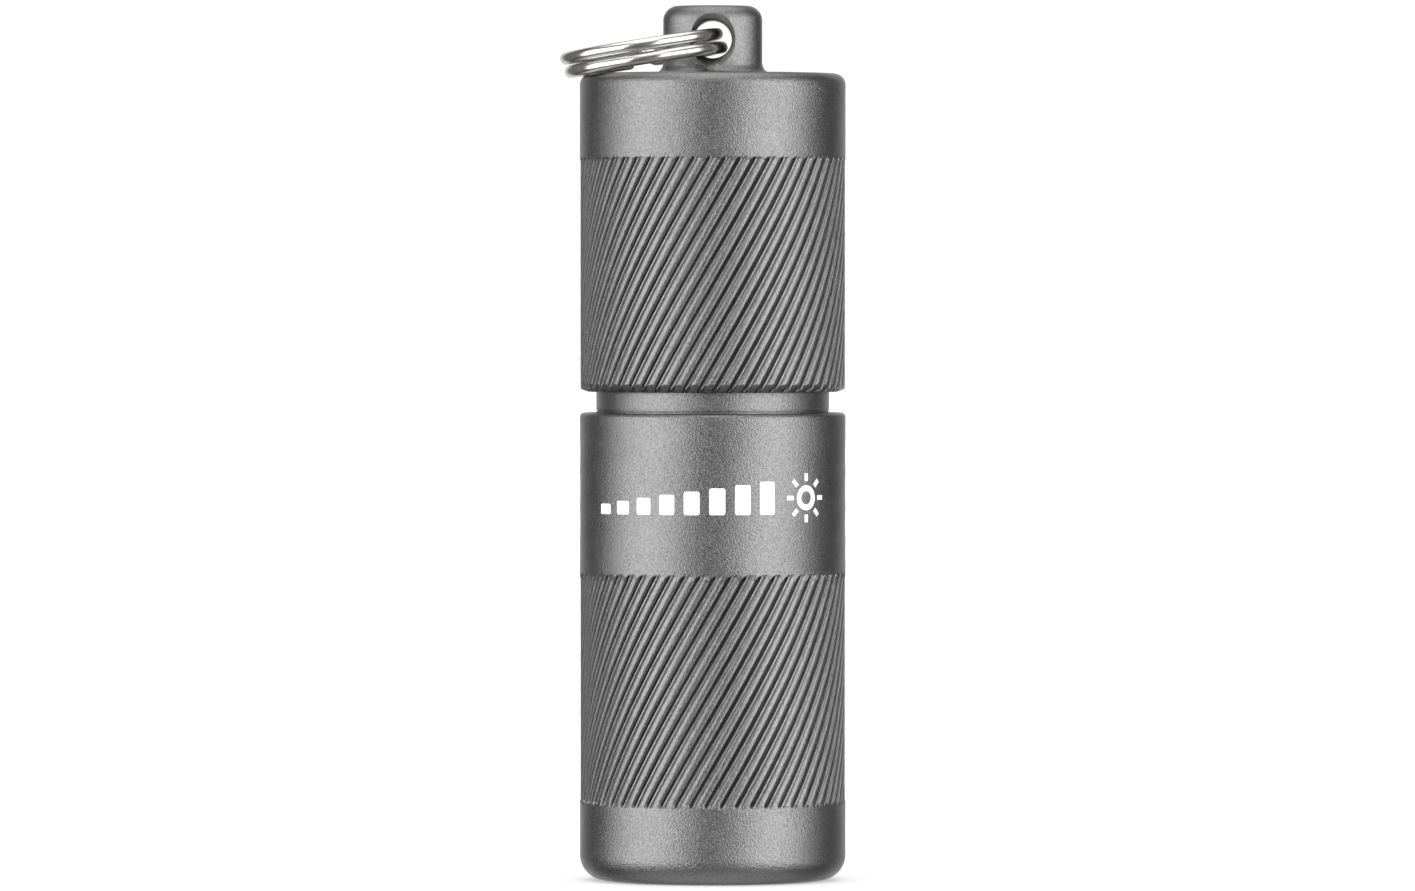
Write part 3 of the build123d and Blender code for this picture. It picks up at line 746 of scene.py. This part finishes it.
# %% A helper for moulded and plated pieces
def moulded(name, dark, light, roughness, grain=0.12, depth=0.004, metal=0.0):
    """A moulded, printed or plated surface: two close shades, a grain and an uneven gloss."""
    f = Finish(name, light, metal=metal, roughness=roughness)
    mottle = f.noise(6 * grain, 3.0)
    f.colour(f.blend(f.spread(mottle, 0, 1), dark, light))
    f.rough(f.spread(f.noise(2 * grain), 0.85 * roughness, 1.15 * roughness))
    f.normal(f.bump(f.noise(grain), depth))
    return f.material


def clear_optic():
    """Clear moulded acrylic with the faint waviness of a mould."""
    f = Finish("clear_optic", (0.97, 0.98, 0.98), roughness=0.04)
    f.shader.inputs["Transmission Weight"].default_value = 1.0
    f.shader.inputs["IOR"].default_value = 1.49
    f.rough(f.spread(f.noise(1.5), 0.02, 0.07))
    f.normal(f.bump(f.noise(1.2), 0.004))
    return f.material


def led_yellow():
    """The phosphor on the LED: a warm yellow with a soft powdery speckle."""
    return moulded("led_phosphor", (0.80, 0.66, 0.16), (0.92, 0.80, 0.30), 0.5, grain=0.05)


def laminate(name, dark, light):
    """A circuit board: glossy solder mask over a faint glass weave."""
    f = Finish(name, light, roughness=0.3)
    weave = f.noise(0.35, 1.0, f.stretched(1.0, 3.0, 3.0))
    f.colour(f.blend(f.spread(weave, 0, 1), dark, light))
    f.rough(f.spread(f.noise(0.8), 0.22, 0.38))
    f.normal(f.bump(weave, 0.006))
    return f.material


WHITE_PLASTIC = ((0.75, 0.75, 0.72), (0.86, 0.86, 0.83))
finishes = {
    "clear_optic": clear_optic(),
    "seal_rubber": moulded("seal_rubber", (0.018, 0.018, 0.018), (0.032, 0.032, 0.032), 0.62),
    "white_moulding": moulded("white_moulding", *WHITE_PLASTIC, 0.45),
    "led_package": led_yellow(),
    "board_white": laminate("board_white", (0.70, 0.72, 0.70), (0.82, 0.83, 0.81)),
    "board_green": laminate("board_green", (0.02, 0.10, 0.05), (0.04, 0.16, 0.08)),
    "board_black": laminate("board_black", (0.012, 0.012, 0.014), (0.03, 0.03, 0.033)),
    "retainer_brass": moulded("turned_brass", (0.60, 0.42, 0.17), (0.76, 0.57, 0.27), 0.3, metal=1.0),
    "chip_black": moulded("chip_black", (0.02, 0.02, 0.02), (0.04, 0.04, 0.04), 0.55),
    "contact_gold": moulded("contact_gold", (0.78, 0.56, 0.22), (0.93, 0.71, 0.34), 0.22, metal=1.0),
    "cell_wrap": moulded("cell_wrap", (0.05, 0.15, 0.30), (0.08, 0.20, 0.38), 0.3),
    "cell_sleeve_film": moulded("insulating_paper", (0.48, 0.38, 0.22), (0.62, 0.52, 0.34), 0.7),
    "nickel": moulded("nickel_strip", (0.52, 0.50, 0.46), (0.66, 0.64, 0.60), 0.32, metal=1.0),
    "port_steel": moulded("port_steel", (0.50, 0.50, 0.50), (0.64, 0.64, 0.64), 0.26, metal=1.0),
    "port_plastic": moulded("port_plastic", (0.02, 0.02, 0.02), (0.045, 0.045, 0.045), 0.42),
    "light_pipe": moulded("frosted_pipe", (0.80, 0.83, 0.83), (0.92, 0.94, 0.94), 0.35),
    "spring_steel": moulded("spring_wire", (0.46, 0.44, 0.40), (0.62, 0.60, 0.54), 0.28, metal=1.0),
    "plug_black": moulded("plug_black", (0.025, 0.025, 0.025), (0.05, 0.05, 0.05), 0.5),
    "glide_white": moulded("glide_white", (0.78, 0.78, 0.76), (0.88, 0.88, 0.86), 0.38),
}
replaced = {"head_shell", "tail_sleeve", "battery_tube", "split_ring"}
for part in frame["record"]["subparts"]:
    if part["node"] in replaced:
        continue
    node = frame["nodes"][part["node"]]
    node.data.materials.clear()
    node.data.materials.append(finishes[part["material_slot"]])
    shade(node, 35)
print("finishes on frame pieces:", len(finishes))

# %% [markdown]
# ## The laser mark
#
# A laser burns the grey off and leaves a white mark on the smooth band of the head. This one is a plain
# working symbol: a bulb-like sun, and bars that grow to the right, for turning the light up. The marks
# could be painted by a mask in the material, but real shapes stay sharp in any export, so each is a
# closed sliver of mesh, bent round the barrel, that stands a few thousandths of a millimetre proud.

# %% Bending a flat shape round the barrel
MARK_THICKNESS = 0.012
MARK_HEIGHT = 22.1  # middle of the mark, up the barrel


def on_barrel(x, z, lift):
    """A point x mm round the barrel from its front, z mm up, lifted off the surface."""
    angle = -math.pi / 2 + x / body_radius
    radius = body_radius + lift
    return Vector((radius * math.cos(angle), radius * math.sin(angle), z)) * MM


def mark_strip(shapes):
    """One mesh of raised slivers. Each shape is (near edge, far edge) as lists of matching points."""
    points, faces = [], []
    for near_edge, far_edge in shapes:
        start, count = len(points), len(near_edge)
        for lift in (-MARK_THICKNESS, MARK_THICKNESS / 2):
            for edge in (near_edge, far_edge):
                points += [on_barrel(x, z, lift) for x, z in edge]
        under_near, under_far, top_near, top_far = (start + k * count for k in range(4))
        for i in range(count - 1):
            faces.append((top_near + i, top_near + i + 1, top_far + i + 1, top_far + i))
            faces.append((under_near + i, under_far + i, under_far + i + 1, under_near + i + 1))
            faces.append((under_near + i, under_near + i + 1, top_near + i + 1, top_near + i))
            faces.append((under_far + i, top_far + i, top_far + i + 1, under_far + i + 1))
        for i in (0, count - 1):
            faces.append((under_near + i, top_near + i, top_far + i, under_far + i))
    mesh = bpy.data.meshes.new("laser_mark")
    mesh.from_pydata(points, [], faces)
    tidy = bmesh.new()
    tidy.from_mesh(mesh)
    bmesh.ops.remove_doubles(tidy, verts=tidy.verts, dist=0.0005 * MM)
    bmesh.ops.recalc_face_normals(tidy, faces=tidy.faces)
    tidy.to_mesh(mesh)
    tidy.free()
    piece = bpy.data.objects.new("laser_mark", mesh)
    bpy.context.scene.collection.objects.link(piece)
    return piece


# %% [markdown]
# Three helpers draw the mark flat: a bar with round corners, a part of a ring and a ray. Each gives the
# two edges of its shape as matching points, and only the step above bends them round the barrel.

# %% The mark's shapes
def bar(x, width, low, high, corner):
    """An upright bar with round corners, as its lower and upper edges from left to right."""
    ends = arc((corner, corner), corner, 180, 270, 5)
    left = [(x + a, low + b) for a, b in ends]
    right = [(2 * x + width - a, b) for a, b in reversed(left)]
    middle = np.linspace(x + corner, x + width - corner, 4)[1:-1]
    lower = left + [(m, low) for m in middle] + right
    upper = [(a, high + low - b) for a, b in lower]
    return lower, upper


def ring_mark(x, z, outer, inner, start, end, steps):
    """Part of a ring as its inner and outer edges, angles in degrees."""
    return (
        [(x + a, z + b) for a, b in arc((0, 0), inner, start, end, steps)],
        [(x + a, z + b) for a, b in arc((0, 0), outer, start, end, steps)],
    )


def ray_mark(x, z, angle, near, far, half_width):
    """A short ray that points away from (x, z)."""
    along = Vector((math.cos(angle), math.sin(angle)))
    across = Vector((-along.y, along.x)) * half_width
    edges = []
    for side in (-1, 1):
        edges.append([
            (x + along.x * d + across.x * side, z + along.y * d + across.y * side)
            for d in np.linspace(near, far, 4)
        ])
    return edges[0], edges[1]


SUN_X, SUN_INNER, SUN_OUTER = 5.9, 0.38, 0.72
RAY_COUNT, RAY_NEAR, RAY_FAR, RAY_HALF_WIDTH = 8, 0.95, 1.4, 0.13
BAR_COUNT, BAR_WIDTH, BAR_PITCH, BAR_LEFT, BAR_CORNER = 8, 0.92, 1.47, -7.55, 0.12
BAR_LOW, BAR_SHORT, BAR_TALL = MARK_HEIGHT - 0.95, 0.6, 1.9
shapes = [ring_mark(SUN_X, MARK_HEIGHT, SUN_OUTER, SUN_INNER, 0, 360, 36)]
for k in range(RAY_COUNT):
    ray_angle = k * 2 * math.pi / RAY_COUNT
    shapes.append(ray_mark(SUN_X, MARK_HEIGHT, ray_angle, RAY_NEAR, RAY_FAR, RAY_HALF_WIDTH))
for k in range(BAR_COUNT):
    tall = BAR_SHORT + (BAR_TALL - BAR_SHORT) * k / (BAR_COUNT - 1)
    shapes.append(bar(BAR_LEFT + k * BAR_PITCH, BAR_WIDTH, BAR_LOW, BAR_LOW + tall, BAR_CORNER))
mark = mark_strip(shapes)


def laser_white():
    """Burnt-off anodising: a chalky white, a little uneven."""
    return moulded("laser_white", (0.80, 0.80, 0.80), (0.93, 0.93, 0.93), 0.6, grain=0.06, depth=0.003)


mark.data.materials.append(laser_white())
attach(mark, "core")
print("mark shapes:", len(shapes))

# %% [markdown]
# ## Floor, light and camera
#
# The light stands on a plain pale floor that reaches far enough to be the background as well. Its paint
# glows a little by itself, which keeps it pale and even. Round metal shows its surroundings rather than
# its own colour, and a white floor would fill the barrel with white. So reflections leave the floor out
# and see the room below it instead.

# %% The floor
FLOOR_REACH = 4.0  # metres
FLOOR_THICKNESS = 1.0  # mm
PAINT_GLOW = 0.4
FLOOR_COLUMNS = 96
start, reach = 0.001, FLOOR_REACH / MM  # mm; a row of points can't be all in one place
floor_outline = [(start, 0), (reach, 0), (reach, -FLOOR_THICKNESS), (start, -FLOOR_THICKNESS)]
floor = turned("floor", floor_outline, FLOOR_COLUMNS)
floor_paint = Finish("floor_paint", (0.58, 0.58, 0.58), roughness=0.7)
floor_paint.shader.inputs["Emission Color"].default_value = (1, 1, 1, 1)
floor_paint.shader.inputs["Emission Strength"].default_value = PAINT_GLOW
floor_paint.rough(floor_paint.spread(floor_paint.noise(30.0), 0.65, 0.75))
floor.data.materials.append(floor_paint.material)
floor.visible_glossy = False  # the barrel shows the room and its softboxes, not the pale floor
floor.visible_shadow = False  # the boxes reach below the floor, and their light has to come through it
print("floor:", 2 * FLOOR_REACH, "m across")

# %% [markdown]
# The softboxes are painted into the room itself, as a World shader. It reads the direction that a ray
# leaves in, works out the compass angle round the light, and is bright between two angles. Real area
# lamps would do the same, but a painted room has no edges to get in the way of a camera that walks
# round.
#
# They are placed for what the barrel reflects. A tall box on each side of the camera makes the two
# broad bright bands. The gap between them is the dark strip down the middle, and the dim room gives the
# dark flanks. A dimmer box behind lights the far side, one above in front and a pale ceiling light the
# tops of the edges and of the ring, and a faint glow from steeply below stands in for the floor.
#
# Only reflections see how dim the room is between the boxes. What the camera sees directly, and what
# lights matt surfaces, is never dimmer than an even pale light, so the background has no dark sides.

# %% The room
world = bpy.data.worlds.new("room")
world.use_nodes = True
bpy.context.scene.world = world
room_nodes, room_links = world.node_tree.nodes, world.node_tree.links


def room_math(operation, first, second):
    """One sum in the room's shader. Each side may be a number or another node's output."""
    node = room_nodes.new("ShaderNodeMath")
    node.operation = operation
    for socket, value in zip(node.inputs, (first, second)):
        if isinstance(value, (int, float)):
            socket.default_value = value
        else:
            room_links.new(value, socket)
    return node.outputs["Value"]


def room_step(value, at, soft):
    """0 below an edge and 1 above it, softly."""
    node = room_nodes.new("ShaderNodeMapRange")
    node.interpolation_type = "SMOOTHSTEP"
    node.inputs["From Min"].default_value = at - soft
    node.inputs["From Max"].default_value = at + soft
    room_links.new(value, node.inputs["Value"])
    return node.outputs["Result"]


def room_window(value, low, high, soft):
    """1 between two edges and 0 outside them."""
    return room_math("SUBTRACT", room_step(value, low, soft), room_step(value, high, soft))


direction = room_nodes.new("ShaderNodeSeparateXYZ")
room_links.new(room_nodes.new("ShaderNodeTexCoord").outputs["Generated"], direction.inputs["Vector"])
to_camera = room_math("MULTIPLY", direction.outputs["Y"], -1.0)
compass = room_math("ARCTAN2", direction.outputs["X"], to_camera)
compass = room_math("MULTIPLY", compass, 180 / math.pi)
either_side = room_math("ABSOLUTE", compass, 0.0)  # lets the box behind lie across 180 degrees
rise = direction.outputs["Z"]  # sine of the height
LEFT_BOX = (-93, -23, 5, 2.1)  # from, to, softness in degrees round from the camera, and brightness
RIGHT_BOX = (23, 84, 5, 2.25)
BACK_BOX = (150, 200, 8, 0.6)
BOX_HEIGHTS = (-0.42, 0.5, 0.1)  # lower and upper edge as sines of the height, softness
CEILING = (0.8, 0.1, 1.3)  # sine of the height where it starts, softness, brightness
FRONT_BOX = (-24, 24, 8, 1.0)
FRONT_HEIGHTS = (0.5, 0.85, 0.1)
ROOM_DIM = (0.03, 0.15)  # looking down, and from just under the boxes up
DIM_EDGE = (BOX_HEIGHTS[0] - 0.1, 0.2)  # where the one runs into the other, softness
FLOOR_GLOW = (-0.70, 0.1, 0.6)  # sine of the height that it reaches up to, softness, brightness
EVEN_LIGHT = 1.05  # the least that the camera and matt surfaces get from any direction
beside, above = room_window(rise, *BOX_HEIGHTS), room_window(rise, *FRONT_HEIGHTS)
glow = room_math("MULTIPLY", room_step(rise, CEILING[0], CEILING[1]), CEILING[2])
for angle, (low, high, soft, bright), heights in (
    (compass, LEFT_BOX, beside),
    (compass, RIGHT_BOX, beside),
    (either_side, BACK_BOX, beside),
    (compass, FRONT_BOX, above),
):
    box = room_math("MULTIPLY", room_window(angle, low, high, soft), heights)
    glow = room_math("ADD", glow, room_math("MULTIPLY", box, bright))
shade_low = room_math("MULTIPLY", room_step(rise, *DIM_EDGE), ROOM_DIM[1] - ROOM_DIM[0])
glow = room_math("ADD", glow, room_math("ADD", shade_low, ROOM_DIM[0]))
above_floor = room_step(rise, FLOOR_GLOW[0], FLOOR_GLOW[1])
floor_light = room_math("MULTIPLY", room_math("SUBTRACT", 1.0, above_floor), FLOOR_GLOW[2])
glow = room_math("ADD", glow, floor_light)
kind = room_nodes.new("ShaderNodeLightPath")
even = room_math("MAXIMUM", kind.outputs["Is Camera Ray"], kind.outputs["Is Diffuse Ray"])
glow = room_math("MAXIMUM", glow, room_math("MULTIPLY", even, EVEN_LIGHT))
room_links.new(glow, room_nodes["Background"].inputs["Strength"])
room_nodes["Background"].inputs["Color"].default_value = (1, 1, 1, 1)
print("room shader:", len(room_nodes), "nodes")

# %% [markdown]
# One real lamp hangs high above. A painted room lights a matt floor from everywhere at once, so without
# the lamp the light would seem to float. A wide lamp gives a soft shadow round its foot.

# %% The lamp above
TARGET = Vector((0, 0, 0.025))
lamp_data = bpy.data.lights.new("top_softbox", "AREA")
lamp_data.size = 0.8
lamp_data.energy = 1.5
lamp = bpy.data.objects.new("top_softbox", lamp_data)
lamp.location = (-0.05, -0.05, 0.8)
lamp.visible_glossy = False
lamp.rotation_euler = (TARGET - lamp.location).to_track_quat("-Z", "Y").to_euler()
bpy.context.scene.collection.objects.link(lamp)
print("lamp height:", round(lamp.location.z, 2), "m")

# %% [markdown]
# A small thing looks natural through a long lens from some way off: its sides stay parallel, and the
# near and far edges of its round ends almost line up. The camera looks down at it by about a degree.

# %% The camera
CAMERA_DISTANCE = 0.62
CAMERA_HEIGHT = 0.0345
CAMERA_SIDE = -0.0003
view = bpy.data.cameras.new("camera")
view.lens = 274
view.sensor_width = 36
view.clip_end = 20
camera = bpy.data.objects.new("camera", view)
camera.location = (CAMERA_SIDE, -CAMERA_DISTANCE, CAMERA_HEIGHT)
aim = Vector((CAMERA_SIDE, 0, TARGET.z))
camera.rotation_euler = (aim - camera.location).to_track_quat("-Z", "Y").to_euler()
bpy.context.scene.collection.objects.link(camera)
bpy.context.scene.camera = camera

bpy.context.scene.view_settings.view_transform = "Standard"
print("camera:", view.lens, "mm lens from", CAMERA_DISTANCE, "m")
